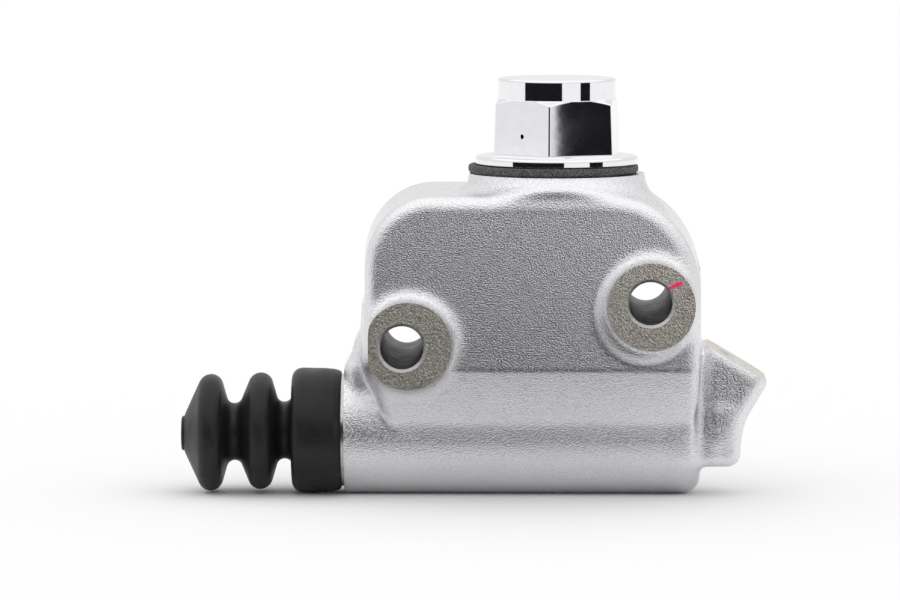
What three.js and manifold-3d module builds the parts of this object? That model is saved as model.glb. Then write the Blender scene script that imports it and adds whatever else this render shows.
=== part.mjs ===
// A rear brake master cylinder for a motorcycle: a cast body with a fluid reservoir above a
// 3/4 inch bore, a screwed hexagon filler cap, and a rubber boot over the push rod end.
//
// Millimetres. +X runs along the bore from the boot to the outlet, +Y points at the frame that the
// body bolts to, +Z is up. The origin is the centre of the lower bolt hole on the frame side.
import * as THREE from "three";
import { mergeVertices } from "three/addons/utils/BufferGeometryUtils.js";
import Module from "manifold-3d";

const wasm = await Module();
wasm.setup();

// ---------------------------------------------------------------- driving dimensions
const BOLT_HOLE_R = 5.16; // 13/32 inch clearance for a 3/8 inch bolt
const UPPER_BOLT = { x: 59.3, z: 10.6 }; // from the lower bolt hole, 60.2 mm apart
const BOLT_SEAT_TO_FRAME = 73;
const STANDOFF = 22.25; // the mounting bosses reach this far behind the reservoir
const RESERVOIR_DEPTH = 46.5;
const BORE_R = 9.525;
const BORE_Z = -22.4;
const BARREL_R = 15.2;
const CAP_X = 37;

const MID_Y = -STANDOFF - RESERVOIR_DEPTH / 2;
const SEAT_Y = -BOLT_SEAT_TO_FRAME;
const GAP = 0.1; // between parts that touch
const SLIDE_GAP = 0.1; // radial, between the bore and what slides in it

const ROUND = 28; // segments round the bore and what fits it closely
const INNER = 24; // segments round the boot and the pieces inside
const SMALL = 12; // segments round a small hole

// body
const WALL = 4.5;
const RESERVOIR = { left: -9.4, right: 71.9, top: 36.2, front_edge: -5.6, round: 5 };
const LEFT_SHOULDER = { rx: 16.5, rz: 17.9 };
const RIGHT_SHOULDER = { rx: 21.3, rz: 24.2 };
const FLOOR_Z = -5;
const SKIRT = { z: -19.5, half_depth: 14.9, round: 4, overlap: 14 }; // down to the barrel
const BARREL = { left: -14.3, right: 71.8, chamfer: 2.8 };
const SPIGOT = { left: -25.5, r: 12.6, groove_r: 11.6, groove: [-20.4, -16.4] };
const BOSS_R = 10.5;
const BOSS_FILLET_R = 3.5;
const LOWER_BOSS = { x: 1.8, z: 0.3 };
const UPPER_BOSS = { x: UPPER_BOLT.x + 0.1, z: UPPER_BOLT.z - 1.1 };
const PILLAR_R = 8.5; // the tube of metal round each bolt hole, inside the reservoir
const NECK = { r: 20.9, top: 40.1, bore_r: 17.6, foot_r: 24.9, spread: 3.4 };

// outlet
const OUTLET = { half: 8.7, corner: 3.4, end: 81.9, low: 8.3, axis_x: 70.3, tilt: 31, reach: 19.95 };
const PORT = { r: 4.25, depth: 10.5, drill_r: 1.6, chamfer: 0.8 };
const TUBE_SEAT = { r: 4.0, tip_r: 2.4, bore_r: 1.5, length: 4.6 };
const BORE_END = 65.5;
const OUTLET_PASSAGE_R = 2.5;

// bore contents, from the boot end
const LOCK_GROOVE = { left: -23.4, right: -21.8, r: 10.9 };
const STOP_STEP = -20.3;
const STOP_R = 10.3;
const PISTON = { left: -20.1, right: 19.9, waist: [-7.5, 15.4], waist_r: 6 };
const CUP_GROOVE = { left: -15.5, right: -10.5, r: 6.8 };
const SOCKET = { r: 5, depth: 9 };
const FEED = { r: 0.9, at: 7.6, holes: 6 }; // small holes through the piston's head
const SHIM = { left: 20, thick: 0.4, r: 9 };
const PRIMARY = { left: 20.5, right: 27.9, base: 2.4 };
const INTAKE = { x: 13, r: 0.9 };
const COMPENSATING = { x: 28.9, r: 0.35 };
const EXPANDER = { left: 23.1, right: 26.2, r: 5.6, wall: 0.6 };
const SPRING = { left: 23.8, right: 58.2, wire_r: 0.7, r_left: 4.2, r_right: 6.2, turns: 8 };
const VALVE = { left: 57.4, right: 63.4, r: 7.6, wall: 0.6 };
const VALVE_RUBBER = { left: 60.6, right: 63.2, r: 6.4 };
const SEAT_RING = { left: 63.5, right: 65.4, r: 9.3, hole_r: 4.4 };

// filler
const CAP = {
  seat: 42.3, flange: 2.1, flange_r: 19.65, hex_top: 58, top: 63.1, collar_r: 14.25,
  across_low: 29, across_high: 27.9, corner_turn: -6.3, plug_r: 17.1, plug_end: 34,
};
const CAP_HOLLOW = { r: 10.9, top: 60.4, plug_r: 14.2 };
const VENT = { z: 49.5, r: 0.5, from: 8, to: 18 };
const GASKET = { r: 20.6, hole_r: 18.4, x: CAP_X - 0.9 };

// boot
const BOOT = {
  mouth_r: 4.3, nose: -53.9, end: -15.1, collar: -27.1, collar_r: 15.1, wall: 1.5,
  peaks: [-46.8, -34.7], peak_r: 14.15, valleys: [-41, -28.9], valley_r: 6.9,
};

// ---------------------------------------------------------------- tools

// A closed three.js geometry as a solid whose faces point out.
function solid(geometry) {
  geometry.deleteAttribute("normal");
  geometry.deleteAttribute("uv");
  const merged = mergeVertices(geometry, 1e-4);
  const index = merged.index.array;
  const kept = [];
  for (let i = 0; i < index.length; i += 3) {
    const [a, b, c] = index.subarray(i, i + 3);
    if (a !== b && b !== c && a !== c) kept.push(a, b, c);
  }
  const make = (triVerts) =>
    new wasm.Manifold(
      new wasm.Mesh({
        numProp: 3,
        vertProperties: new Float32Array(merged.attributes.position.array),
        triVerts: new Uint32Array(triVerts),
      }),
    );
  const made = make(kept);
  if (made.volume() > 0) return made;
  for (let i = 0; i < kept.length; i += 3) [kept[i], kept[i + 1]] = [kept[i + 1], kept[i]];
  return make(kept);
}

const join = (...solids) => solids.reduce((whole, next) => whole.add(next));
const cut = (whole, ...tools) => tools.reduce((left, tool) => left.subtract(tool), whole);

function lathe(profile, segments) {
  return new THREE.LatheGeometry(profile.map(([r, along]) => new THREE.Vector2(r, along)), segments);
}

// Turned about the bore's axis: the profile is [radius, x].
const turned = (profile, segments = ROUND) =>
  solid(lathe(profile, segments).rotateZ(-Math.PI / 2).translate(0, MID_Y, BORE_Z));

// Turned about an upright axis: the profile is [radius, z].
const upright = (profile, x, segments = ROUND, y = MID_Y) =>
  solid(lathe(profile, segments).rotateX(Math.PI / 2).translate(x, y, 0));

// Turned about an axis along Y: the profile is [radius, y].
const across = (profile, { x, z }, segments = ROUND) =>
  solid(lathe(profile, segments).translate(x, 0, z));

const rod = (r, from, to) => [[0, from], [r, from], [r, to], [0, to]];
const ring = (r, hole, from, to) => [[hole, from], [r, from], [r, to], [hole, to], [hole, from]];

// An outline in X and Z, run from y_back towards -Y, with its edges rounded by bevel.
function slab(shape, y_back, depth, bevel = 0, curveSegments = 8) {
  const geometry = new THREE.ExtrudeGeometry(shape, {
    depth: depth - 2 * bevel,
    bevelEnabled: bevel > 0,
    bevelThickness: bevel,
    bevelSize: bevel,
    bevelOffset: -bevel,
    bevelSegments: 3,
    curveSegments,
  });
  return solid(geometry.rotateX(Math.PI / 2).translate(0, y_back - bevel, 0));
}

function named(name, made, colour, roughness, metalness) {
  const { vertProperties, triVerts } = made.getMesh();
  const geometry = new THREE.BufferGeometry()
    .setAttribute("position", new THREE.BufferAttribute(vertProperties, 3))
    .setIndex(new THREE.BufferAttribute(triVerts, 1));
  geometry.computeVertexNormals();
  const material = new THREE.MeshStandardMaterial({ color: colour, roughness, metalness });
  const mesh = new THREE.Mesh(geometry, material);
  mesh.name = name;
  return mesh;
}

// ---------------------------------------------------------------- body

// The reservoir's outline, shrunk by inset, from bottom to the shoulders.
function reservoirOutline(inset, bottom) {
  const left = RESERVOIR.left + inset;
  const right = RESERVOIR.right - inset;
  const top = RESERVOIR.top - inset;
  const l = { rx: LEFT_SHOULDER.rx - inset, rz: LEFT_SHOULDER.rz - inset };
  const r = { rx: RIGHT_SHOULDER.rx - inset, rz: RIGHT_SHOULDER.rz - inset };
  const shape = new THREE.Shape();
  shape.moveTo(left, bottom);
  shape.lineTo(right, bottom);
  shape.lineTo(right, top - r.rz);
  shape.absellipse(right - r.rx, top - r.rz, r.rx, r.rz, 0, Math.PI / 2, false);
  shape.lineTo(left + l.rx, top);
  shape.absellipse(left + l.rx, top - l.rz, l.rx, l.rz, Math.PI / 2, Math.PI, false);
  shape.lineTo(left, bottom);
  return shape;
}

// The sloping part between the reservoir's flat faces and the barrel, as a section along X.
function skirt() {
  const half = RESERVOIR_DEPTH / 2;
  const shape = new THREE.Shape([
    new THREE.Vector2(-SKIRT.half_depth, SKIRT.z),
    new THREE.Vector2(SKIRT.half_depth, SKIRT.z),
    new THREE.Vector2(half, RESERVOIR.front_edge),
    new THREE.Vector2(half, RESERVOIR.front_edge + SKIRT.overlap),
    new THREE.Vector2(-half, RESERVOIR.front_edge + SKIRT.overlap),
    new THREE.Vector2(-half, RESERVOIR.front_edge),
  ]);
  const length = RESERVOIR.right - RESERVOIR.left;
  const geometry = new THREE.ExtrudeGeometry(shape, {
    depth: length - 2 * SKIRT.round,
    bevelThickness: SKIRT.round,
    bevelSize: SKIRT.round,
    bevelOffset: -SKIRT.round,
    bevelSegments: 3,
  });
  geometry.rotateX(Math.PI / 2).rotateZ(Math.PI / 2); // shape x to Y, shape y to Z, depth to X
  return solid(geometry.translate(RESERVOIR.left + SKIRT.round, MID_Y, 0));
}

// The web that carries the reservoir's end wall down to the open end of the barrel.
function endWeb() {
  const shape = new THREE.Shape();
  shape.moveTo(-5, 5.5);
  shape.lineTo(RESERVOIR.left, 5.5);
  shape.quadraticCurveTo(RESERVOIR.left, -1.5, -12.9, -3.2);
  shape.quadraticCurveTo(BARREL.left, -4, BARREL.left, -8.5);
  shape.lineTo(BARREL.left, BORE_Z + 6);
  shape.lineTo(-5, BORE_Z + 6);
  const depth = 2 * SKIRT.half_depth - 3;
  return slab(shape, MID_Y + depth / 2, depth, 1.5, 4);
}

function barrel() {
  const { left, right, chamfer } = BARREL;
  const [g0, g1] = SPIGOT.groove;
  return turned([
    [0, SPIGOT.left],
    [SPIGOT.r - 1, SPIGOT.left],
    [SPIGOT.r, SPIGOT.left + 1],
    [SPIGOT.r, g0],
    [SPIGOT.groove_r, g0],
    [SPIGOT.groove_r, g1],
    [SPIGOT.r, g1],
    [SPIGOT.r, left],
    [BARREL_R, left],
    [BARREL_R, right - chamfer],
    [BARREL_R - chamfer, right],
    [0, right],
  ]);
}

// The seat for a bolt head in front, and the stand-off to the frame behind, with a fillet where
// each leaves the reservoir's flat side.
function mountingBoss(at) {
  const front = MID_Y - RESERVOIR_DEPTH / 2;
  const back = MID_Y + RESERVOIR_DEPTH / 2;
  const fillet = [0, 1, 2, 3].map((step) => {
    const turn = (step / 3) * (Math.PI / 2);
    return [BOSS_R + BOSS_FILLET_R * (1 - Math.cos(turn)), BOSS_FILLET_R * (1 - Math.sin(turn))];
  });
  const flared = across(
    [
      [0, front - BOSS_FILLET_R],
      ...fillet.map(([r, off]) => [r, front - off]),
      [BOSS_R, front + BOSS_FILLET_R],
      [BOSS_R, back - BOSS_FILLET_R],
      ...fillet.map(([r, off]) => [r, back + off]).reverse(),
      [0, back + BOSS_FILLET_R],
    ],
    at,
  );
  const over = slab(reservoirOutline(RESERVOIR.round / 4, RESERVOIR.front_edge), 0, BOLT_SEAT_TO_FRAME);
  return join(across(rod(BOSS_R, SEAT_Y, 0), at), flared.intersect(over));
}

// The neck spreads out at its foot, as far as the reservoir's flat front and back.
function neck() {
  const foot = RESERVOIR.top;
  const cone = upright(
    [
      [0, foot - NECK.spread],
      [NECK.foot_r + NECK.spread, foot - NECK.spread],
      [NECK.foot_r, foot],
      [NECK.r + 1.5, foot + 2.2],
      [NECK.r, foot + 3.2],
      [NECK.r, NECK.top],
      [0, NECK.top],
    ],
    CAP_X,
  );
  const reach = NECK.foot_r + NECK.spread + 1;
  const between = new THREE.Shape([
    new THREE.Vector2(CAP_X - reach, 0),
    new THREE.Vector2(CAP_X + reach, 0),
    new THREE.Vector2(CAP_X + reach, NECK.top + 1),
    new THREE.Vector2(CAP_X - reach, NECK.top + 1),
  ]);
  return cone.intersect(slab(between, MID_Y + RESERVOIR_DEPTH / 2, RESERVOIR_DEPTH));
}

// Puts a solid made about +Z, with its far end at z = 0, on the outlet's slanted face.
function atOutlet(geometry) {
  const tilt = THREE.MathUtils.degToRad(OUTLET.tilt);
  const face = [
    OUTLET.axis_x + OUTLET.reach * Math.sin(tilt),
    MID_Y,
    BORE_Z + OUTLET.reach * Math.cos(tilt),
  ];
  return solid(geometry.rotateY(tilt).translate(...face));
}

function roundedRect(low, high, half, corner) {
  const shape = new THREE.Shape();
  shape.moveTo(low + corner, -half);
  shape.lineTo(high - corner, -half);
  shape.absarc(high - corner, -half + corner, corner, -Math.PI / 2, 0, false);
  shape.lineTo(high, half - corner);
  shape.absarc(high - corner, half - corner, corner, 0, Math.PI / 2, false);
  shape.lineTo(low + corner, half);
  shape.absarc(low + corner, half - corner, corner, Math.PI / 2, Math.PI, false);
  shape.lineTo(low, -half + corner);
  shape.absarc(low + corner, -half + corner, corner, Math.PI, 1.5 * Math.PI, false);
  return shape;
}

function outletBoss() {
  const { half, corner, end, low, reach } = OUTLET;
  const port = new THREE.ExtrudeGeometry(roundedRect(-half, half, half, corner), {
    depth: reach + 4,
    bevelEnabled: false,
    curveSegments: 4,
  });
  const stubLength = end - BARREL.right + 6;
  const stub = new THREE.ExtrudeGeometry(roundedRect(-low, low, half, corner), {
    depth: stubLength,
    bevelEnabled: false,
    curveSegments: 4,
  });
  // What of the block would stand below the stub is cut off.
  const tall = 30;
  const top = BORE_Z - low + 0.6;
  const below = new THREE.BoxGeometry(2 * tall, 2 * tall, tall);
  below.translate(OUTLET.axis_x, MID_Y, top - tall / 2);
  const standing = atOutlet(port.translate(0, 0, -reach - 4));
  return join(
    cut(standing, solid(below)),
    solid(stub.rotateY(Math.PI / 2).translate(end - stubLength, MID_Y, BORE_Z)),
  );
}

function outletPort() {
  const { r, depth, drill_r, chamfer } = PORT;
  const mouth = [
    [0, 1],
    [r + chamfer + 1, 1],
    [r, -chamfer],
    [r, -depth],
    [drill_r, -depth - 1.2],
    [drill_r, -OUTLET.reach],
    [0, -OUTLET.reach],
  ];
  return atOutlet(lathe(mouth, 24).rotateX(Math.PI / 2));
}

function bore() {
  const { left, right, r } = LOCK_GROOVE;
  return turned([
    [0, SPIGOT.left - 1],
    [STOP_R, SPIGOT.left - 1],
    [STOP_R, left],
    [r, left],
    [r, right],
    [STOP_R, right],
    [STOP_R, STOP_STEP],
    [BORE_R, STOP_STEP],
    [BORE_R, BORE_END],
    [OUTLET_PASSAGE_R, BORE_END],
    [OUTLET_PASSAGE_R, OUTLET.axis_x + 2],
    [0, OUTLET.axis_x + 2],
  ]);
}

function reservoirHollow() {
  const depth = RESERVOIR_DEPTH - 2 * WALL;
  const inside = slab(reservoirOutline(WALL, FLOOR_Z), MID_Y + depth / 2, depth, 2, 4);
  const pillar = (at) => across(rod(PILLAR_R, SEAT_Y, 0), at, 24);
  return cut(inside, pillar({ x: 0, z: 0 }), pillar(UPPER_BOLT));
}

function bodyCasting() {
  const cast = join(
    slab(reservoirOutline(0, RESERVOIR.front_edge), MID_Y + RESERVOIR_DEPTH / 2, RESERVOIR_DEPTH,
      RESERVOIR.round, 6),
    skirt(),
    endWeb(),
    barrel(),
    mountingBoss(LOWER_BOSS),
    mountingBoss(UPPER_BOSS),
    neck(),
    outletBoss(),
  );
  const boltHole = (at) => across(rod(BOLT_HOLE_R, SEAT_Y - 1, 1), at, 32);
  return cut(
    cast,
    reservoirHollow(),
    bore(),
    boltHole({ x: 0, z: 0 }),
    boltHole(UPPER_BOLT),
    upright(rod(NECK.bore_r, RESERVOIR.top - WALL - 1, NECK.top + 1), CAP_X),
    upright(rod(INTAKE.r, BORE_Z, FLOOR_Z + 1), INTAKE.x, SMALL),
    upright(rod(COMPENSATING.r, BORE_Z, FLOOR_Z + 1), COMPENSATING.x, SMALL),
    outletPort(),
  );
}

// A drilled brass seat for a flared brake pipe, pressed into the bottom of the outlet.
function tubeSeat() {
  const { r, tip_r, bore_r, length } = TUBE_SEAT;
  const foot = -PORT.depth + GAP;
  const profile = [
    [bore_r, foot],
    [r, foot],
    [r, foot + length * 0.4],
    [tip_r, foot + length],
    [bore_r, foot + length],
    [bore_r, foot],
  ];
  return atOutlet(lathe(profile, 24).rotateX(Math.PI / 2));
}

// ---------------------------------------------------------------- filler

// A hexagon block that tapers, as a lathe of six sides, turned so that a corner faces forward.
function hexagon(across_low, across_high, from, to) {
  const corner = (flats) => flats / 2 / Math.cos(Math.PI / 6);
  const turn = THREE.MathUtils.degToRad(CAP.corner_turn);
  const geometry = lathe([[0, from], [corner(across_low), from], [corner(across_high), to], [0, to]], 6);
  return solid(geometry.rotateX(Math.PI / 2).rotateZ(turn).translate(CAP_X, MID_Y, 0));
}

function fillerCap() {
  const { seat, flange, flange_r, hex_top, top, collar_r, plug_r, plug_end } = CAP;
  const flange_top = seat + flange;
  const corner_r = CAP.across_low / 2 / Math.cos(Math.PI / 6);
  const chamfer_rise = (corner_r - collar_r) * Math.tan(Math.PI / 6);
  const chamfered = upright(
    [[0, seat], [corner_r + 1, seat], [corner_r + 1, hex_top - chamfer_rise - 0.6],
      [collar_r, hex_top], [0, hex_top]],
    CAP_X,
  );
  const hex = hexagon(CAP.across_low, CAP.across_high, seat, hex_top).intersect(chamfered);
  const round = upright(
    [[0, plug_end], [plug_r - 0.8, plug_end], [plug_r, plug_end + 0.8], [plug_r, seat],
      [flange_r - 0.3, seat], [flange_r, seat + 0.4], [flange_r, flange_top - 0.6],
      [flange_r - 0.8, flange_top], [collar_r, flange_top], [collar_r, top - 0.5],
      [collar_r - 0.5, top], [0, top]],
    CAP_X,
  );
  const hollow = upright(
    [[0, plug_end - 1], [CAP_HOLLOW.plug_r, plug_end - 1], [CAP_HOLLOW.plug_r, seat - 2],
      [CAP_HOLLOW.r, seat + 1], [CAP_HOLLOW.r, CAP_HOLLOW.top], [0, CAP_HOLLOW.top]],
    CAP_X,
    32,
  );
  const facet = THREE.MathUtils.degToRad(CAP.corner_turn - 30);
  const drill = lathe(rod(VENT.r, VENT.from, VENT.to), SMALL);
  const vent = solid(drill.rotateX(Math.PI).rotateZ(facet).translate(CAP_X, MID_Y, VENT.z));
  return cut(join(hex, round), hollow, vent);
}

function capGasket() {
  return upright(ring(GASKET.r, GASKET.hole_r, NECK.top + GAP, CAP.seat - GAP), GASKET.x);
}

// ---------------------------------------------------------------- bore contents

// A wire ring with a gap, sprung into its groove.
function lockRing() {
  const wire = 0.65;
  const mean = LOCK_GROOVE.r - wire - GAP;
  const gap = THREE.MathUtils.degToRad(34);
  const section = [];
  const middle = (LOCK_GROOVE.left + LOCK_GROOVE.right) / 2;
  for (let i = 0; i <= 6; i++) {
    const a = (i / 6) * 2 * Math.PI;
    section.push([mean + wire * Math.cos(a), middle + wire * Math.sin(a)]);
  }
  const whole = turned(section, INNER);
  const reach = 14;
  const wedge = new THREE.Shape([
    new THREE.Vector2(0, 0),
    new THREE.Vector2(-reach * Math.sin(gap / 2), reach),
    new THREE.Vector2(reach * Math.sin(gap / 2), reach),
  ]);
  const opening = new THREE.ExtrudeGeometry(wedge, { depth: 6, bevelEnabled: false });
  opening.rotateX(Math.PI).rotateY(Math.PI / 2).rotateX(Math.PI / 2);
  return cut(whole, solid(opening.translate(LOCK_GROOVE.left - 2, MID_Y, BORE_Z)));
}

function stopPlate() {
  const right = STOP_STEP - GAP;
  return turned(ring(STOP_R - GAP, 6.2, right - 1.2, right), INNER);
}

function piston() {
  const r = BORE_R - SLIDE_GAP;
  const { left, right, waist, waist_r } = PISTON;
  const blank = turned([
    [0, left + SOCKET.depth],
    [SOCKET.r * 0.6, left + SOCKET.depth * 0.8],
    [SOCKET.r, left],
    [r - 0.6, left],
    [r, left + 0.6],
    [r, CUP_GROOVE.left],
    [CUP_GROOVE.r, CUP_GROOVE.left],
    [CUP_GROOVE.r, CUP_GROOVE.right],
    [r, CUP_GROOVE.right],
    [r, waist[0]],
    [waist_r, waist[0] + 1],
    [waist_r, waist[1] - 1],
    [r, waist[1]],
    [r, right - 0.4],
    [r - 0.4, right],
    [0, right],
  ]);
  const feeds = [];
  for (let i = 0; i < FEED.holes; i++) {
    const drill = lathe(rod(FEED.r, waist[1] - 2, right + 1), 6).rotateZ(-Math.PI / 2);
    drill.translate(0, 0, FEED.at).rotateX((i * 2 * Math.PI) / FEED.holes);
    feeds.push(solid(drill.translate(0, MID_Y, BORE_Z)));
  }
  return cut(blank, ...feeds);
}

function secondaryCup() {
  const lip = BORE_R - SLIDE_GAP / 2;
  const inner = CUP_GROOVE.r + GAP;
  const left = CUP_GROOVE.left + GAP;
  const right = CUP_GROOVE.right - GAP;
  return turned([
    [inner, left], [lip - 0.4, left], [lip - 0.4, left + 1.8], [lip, right],
    [lip - 1, right], [inner + 1, left + 2.2], [inner + 0.5, right], [inner, right], [inner, left],
  ]);
}

function pistonShim() {
  return turned(ring(SHIM.r, 1.5, SHIM.left, SHIM.left + SHIM.thick), INNER);
}

function primaryCup() {
  const lip = BORE_R - SLIDE_GAP / 2;
  const { left, right, base } = PRIMARY;
  return turned([
    [0, left], [lip - 1, left], [lip - 0.4, left + 0.8], [lip - 0.4, left + 3.4], [lip, right - 0.6],
    [lip - 0.2, right], [lip - 1.1, right], [lip - 2.9, left + base], [0, left + base],
  ]);
}

// A pressed cup that spreads the spring's load over the rubber.
function cupExpander() {
  const { left, right, r, wall } = EXPANDER;
  return turned([
    [1.5, left], [r, left], [r + 0.6, right], [r + 0.6 - wall, right], [r - wall, left + wall],
    [1.5, left + wall], [1.5, left],
  ], INNER);
}

class Helix extends THREE.Curve {
  constructor({ left, right, wire_r, r_left, r_right, turns }) {
    super();
    Object.assign(this, { left: left + wire_r, right: right - wire_r, r_left, r_right, turns });
  }
  getPoint(t, target = new THREE.Vector3()) {
    const angle = 2 * Math.PI * this.turns * t;
    const r = this.r_left + (this.r_right - this.r_left) * t;
    const x = this.left + (this.right - this.left) * t;
    return target.set(x, r * Math.cos(angle), r * Math.sin(angle));
  }
}

function returnSpring() {
  const section = new THREE.Shape();
  section.absarc(0, 0, SPRING.wire_r, 0, 2 * Math.PI, false);
  const geometry = new THREE.ExtrudeGeometry(section, {
    steps: SPRING.turns * 10,
    curveSegments: 3,
    extrudePath: new Helix(SPRING),
  });
  return solid(geometry.translate(0, MID_Y, BORE_Z));
}

function valveCage() {
  const { left, right, r, wall } = VALVE;
  const hat_r = 4.8;
  return turned([
    [1.6, left], [hat_r, left], [hat_r, right - 3.4], [r, right - 3.2], [r, right],
    [r - wall, right], [r - wall, right - 3.2 + wall], [hat_r - wall, right - 3.4 + wall],
    [hat_r - wall, left + wall], [1.6, left + wall], [1.6, left],
  ], INNER);
}

function valveRubber() {
  const { left, right, r } = VALVE_RUBBER;
  return turned(
    [[0, left], [2.6, left - 2.1], [3.9, left - 2.1], [3.9, left + 0.2], [r, left + 0.4], [r, right],
      [2.6, right], [0.8, left + 1], [0, left + 1]],
    INNER,
  );
}

function valveSeat() {
  const { left, right, r, hole_r } = SEAT_RING;
  return turned(ring(r, hole_r, left, right - GAP), INNER);
}

// ---------------------------------------------------------------- boot

// The bellows' outer line as [radius, x]: a cosine between each peak and valley.
function bootLine(shift) {
  const { nose, mouth_r, collar, peaks, peak_r, valleys, valley_r } = BOOT;
  const knots = [
    [peaks[0], peak_r], [valleys[0], valley_r], [peaks[1], peak_r], [valleys[1], valley_r],
  ];
  const line = [[mouth_r, nose], [mouth_r + 4.7, nose + 1.8], [peak_r - 1.2, peaks[0] - 2.6]];
  for (let k = 0; k + 1 < knots.length; k++) {
    const [x0, r0] = knots[k];
    const [x1, r1] = knots[k + 1];
    for (const t of [0, 0.25, 0.5, 0.75]) {
      line.push([(r0 + r1) / 2 + ((r0 - r1) / 2) * Math.cos(Math.PI * t), x0 + (x1 - x0) * t]);
    }
  }
  line.push([valley_r, valleys[1]], [valley_r + 0.9, collar - 0.4]);
  return line.map(([r, x]) => [Math.max(r - shift, mouth_r - 0.8), x]);
}

function dustBoot() {
  const { wall, collar, collar_r, end, nose, mouth_r, valley_r } = BOOT;
  const [g0, g1] = SPIGOT.groove;
  const outside = bootLine(0).concat([
    [collar_r - 1.8, collar], [collar_r - 0.4, collar + 0.8], [collar_r, collar + 2], [collar_r - 0.3, end],
  ]);
  const fit = SPIGOT.r + 0.25;
  const inside = bootLine(wall)
    .map(([r, x]) => [r, x + 0.35])
    .filter(([, x]) => x > nose + 1 && x < collar - 0.5);
  const inner = [[mouth_r - 0.8, nose + 1.4]].concat(inside, [
    [valley_r - wall + 0.2, collar + 0.6],
    [fit - 0.6, collar + 1.2],
    [fit, collar + 1.6],
    [fit, g0 + 0.4],
    [SPIGOT.groove_r + 0.25, g0 + 0.9],
    [SPIGOT.groove_r + 0.25, g1 - 0.9],
    [fit, g1 - 0.4],
    [fit, end],
  ]);
  return turned([[mouth_r - 0.8, nose], ...outside, ...inner.reverse(), [mouth_r - 0.8, nose]], INNER);
}

// ---------------------------------------------------------------- the whole

const CAST = [0xb4b6ba, 0.45, 0.9];
const CHROME = [0xe8e9ec, 0.06, 1];
const STEEL = [0x9a9c9f, 0.35, 1];
const ALUMINIUM = [0xc4c6c8, 0.3, 1];
const RUBBER = [0x1c1c1f, 0.6, 0];
const BRASS = [0xc9a45a, 0.3, 1];
const FIBRE = [0x2a292b, 0.9, 0];

const masterCylinder = new THREE.Group();
masterCylinder.add(
  named("body_casting", bodyCasting(), ...CAST),
  named("outlet_tube_seat", tubeSeat(), ...BRASS),
  named("filler_cap", fillerCap(), ...CHROME),
  named("cap_gasket", capGasket(), ...FIBRE),
  named("lock_ring", lockRing(), ...STEEL),
  named("stop_plate", stopPlate(), ...STEEL),
  named("piston", piston(), ...ALUMINIUM),
  named("secondary_cup", secondaryCup(), ...RUBBER),
  named("piston_shim", pistonShim(), ...STEEL),
  named("primary_cup", primaryCup(), ...RUBBER),
  named("cup_expander", cupExpander(), ...STEEL),
  named("return_spring", returnSpring(), ...STEEL),
  named("check_valve_cage", valveCage(), ...STEEL),
  named("check_valve_rubber", valveRubber(), ...RUBBER),
  named("valve_seat_ring", valveSeat(), ...RUBBER),
  named("dust_boot", dustBoot(), ...RUBBER),
);

export default masterCylinder;
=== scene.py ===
"""Looks for the brake master cylinder: its casting, plating, rubber and spring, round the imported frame.

Shapes are drawn in millimetres, in the frame's own axes. Every mesh is turned into metres as it is made.
+X runs along the bore from the boot to the outlet, +Y through the bolt holes to what carries the part,
and +Z up.
"""

import math

import bmesh
import bpy
import numpy as np
from mathutils import Matrix, Vector


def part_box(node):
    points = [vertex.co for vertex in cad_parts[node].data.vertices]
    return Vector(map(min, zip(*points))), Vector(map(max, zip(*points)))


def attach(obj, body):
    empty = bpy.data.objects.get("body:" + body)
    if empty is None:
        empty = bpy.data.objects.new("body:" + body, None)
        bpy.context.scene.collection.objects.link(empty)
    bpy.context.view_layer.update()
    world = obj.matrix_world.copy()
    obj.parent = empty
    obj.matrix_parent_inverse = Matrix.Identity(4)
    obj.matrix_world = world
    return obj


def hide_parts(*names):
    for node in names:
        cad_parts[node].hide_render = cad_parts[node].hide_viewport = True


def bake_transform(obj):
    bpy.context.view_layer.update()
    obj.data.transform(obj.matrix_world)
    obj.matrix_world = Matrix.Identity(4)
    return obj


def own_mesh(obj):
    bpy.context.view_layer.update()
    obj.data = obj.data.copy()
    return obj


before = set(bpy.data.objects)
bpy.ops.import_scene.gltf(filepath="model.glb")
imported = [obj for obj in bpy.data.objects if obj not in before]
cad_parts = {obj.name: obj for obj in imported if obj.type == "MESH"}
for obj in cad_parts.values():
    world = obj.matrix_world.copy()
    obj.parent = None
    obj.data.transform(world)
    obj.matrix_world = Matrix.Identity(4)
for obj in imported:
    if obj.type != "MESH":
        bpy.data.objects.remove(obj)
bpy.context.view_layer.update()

MM = 0.001
GRID = 0.55  # the grid that the casting's skin is drawn on
ROUND = 160  # segments round a turned piece
TINY = 1e-5  # the radius, in millimetres, of a point that stands on an axis

# ---------------------------------------------------------------- places, from the frame


def box_mm(node):
    low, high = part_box(node)
    return np.array(low) / MM, np.array(high) / MM


CAST_LOW, CAST_HIGH = box_mm("body_casting")
CAP_LOW, CAP_HIGH = box_mm("filler_cap")
GASKET_LOW, GASKET_HIGH = box_mm("cap_gasket")
BOOT_LOW, BOOT_HIGH = box_mm("dust_boot")
SPRING_LOW, SPRING_HIGH = box_mm("return_spring")
FLOOR_Z = min(CAST_LOW[2], BOOT_LOW[2])
SEAT_Y = CAST_LOW[1]
PAD_Y = CAST_HIGH[1]
NECK_TOP = CAST_HIGH[2]
MID_Y = (BOOT_LOW[1] + BOOT_HIGH[1]) / 2
BORE_Z = (BOOT_LOW[2] + BOOT_HIGH[2]) / 2
CAP_X = (CAP_LOW[0] + CAP_HIGH[0]) / 2
LOWER_BOLT = (0, 0)
UPPER_BOLT = (59.3, 10.6)

# ---------------------------------------------------------------- the casting's sizes

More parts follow.
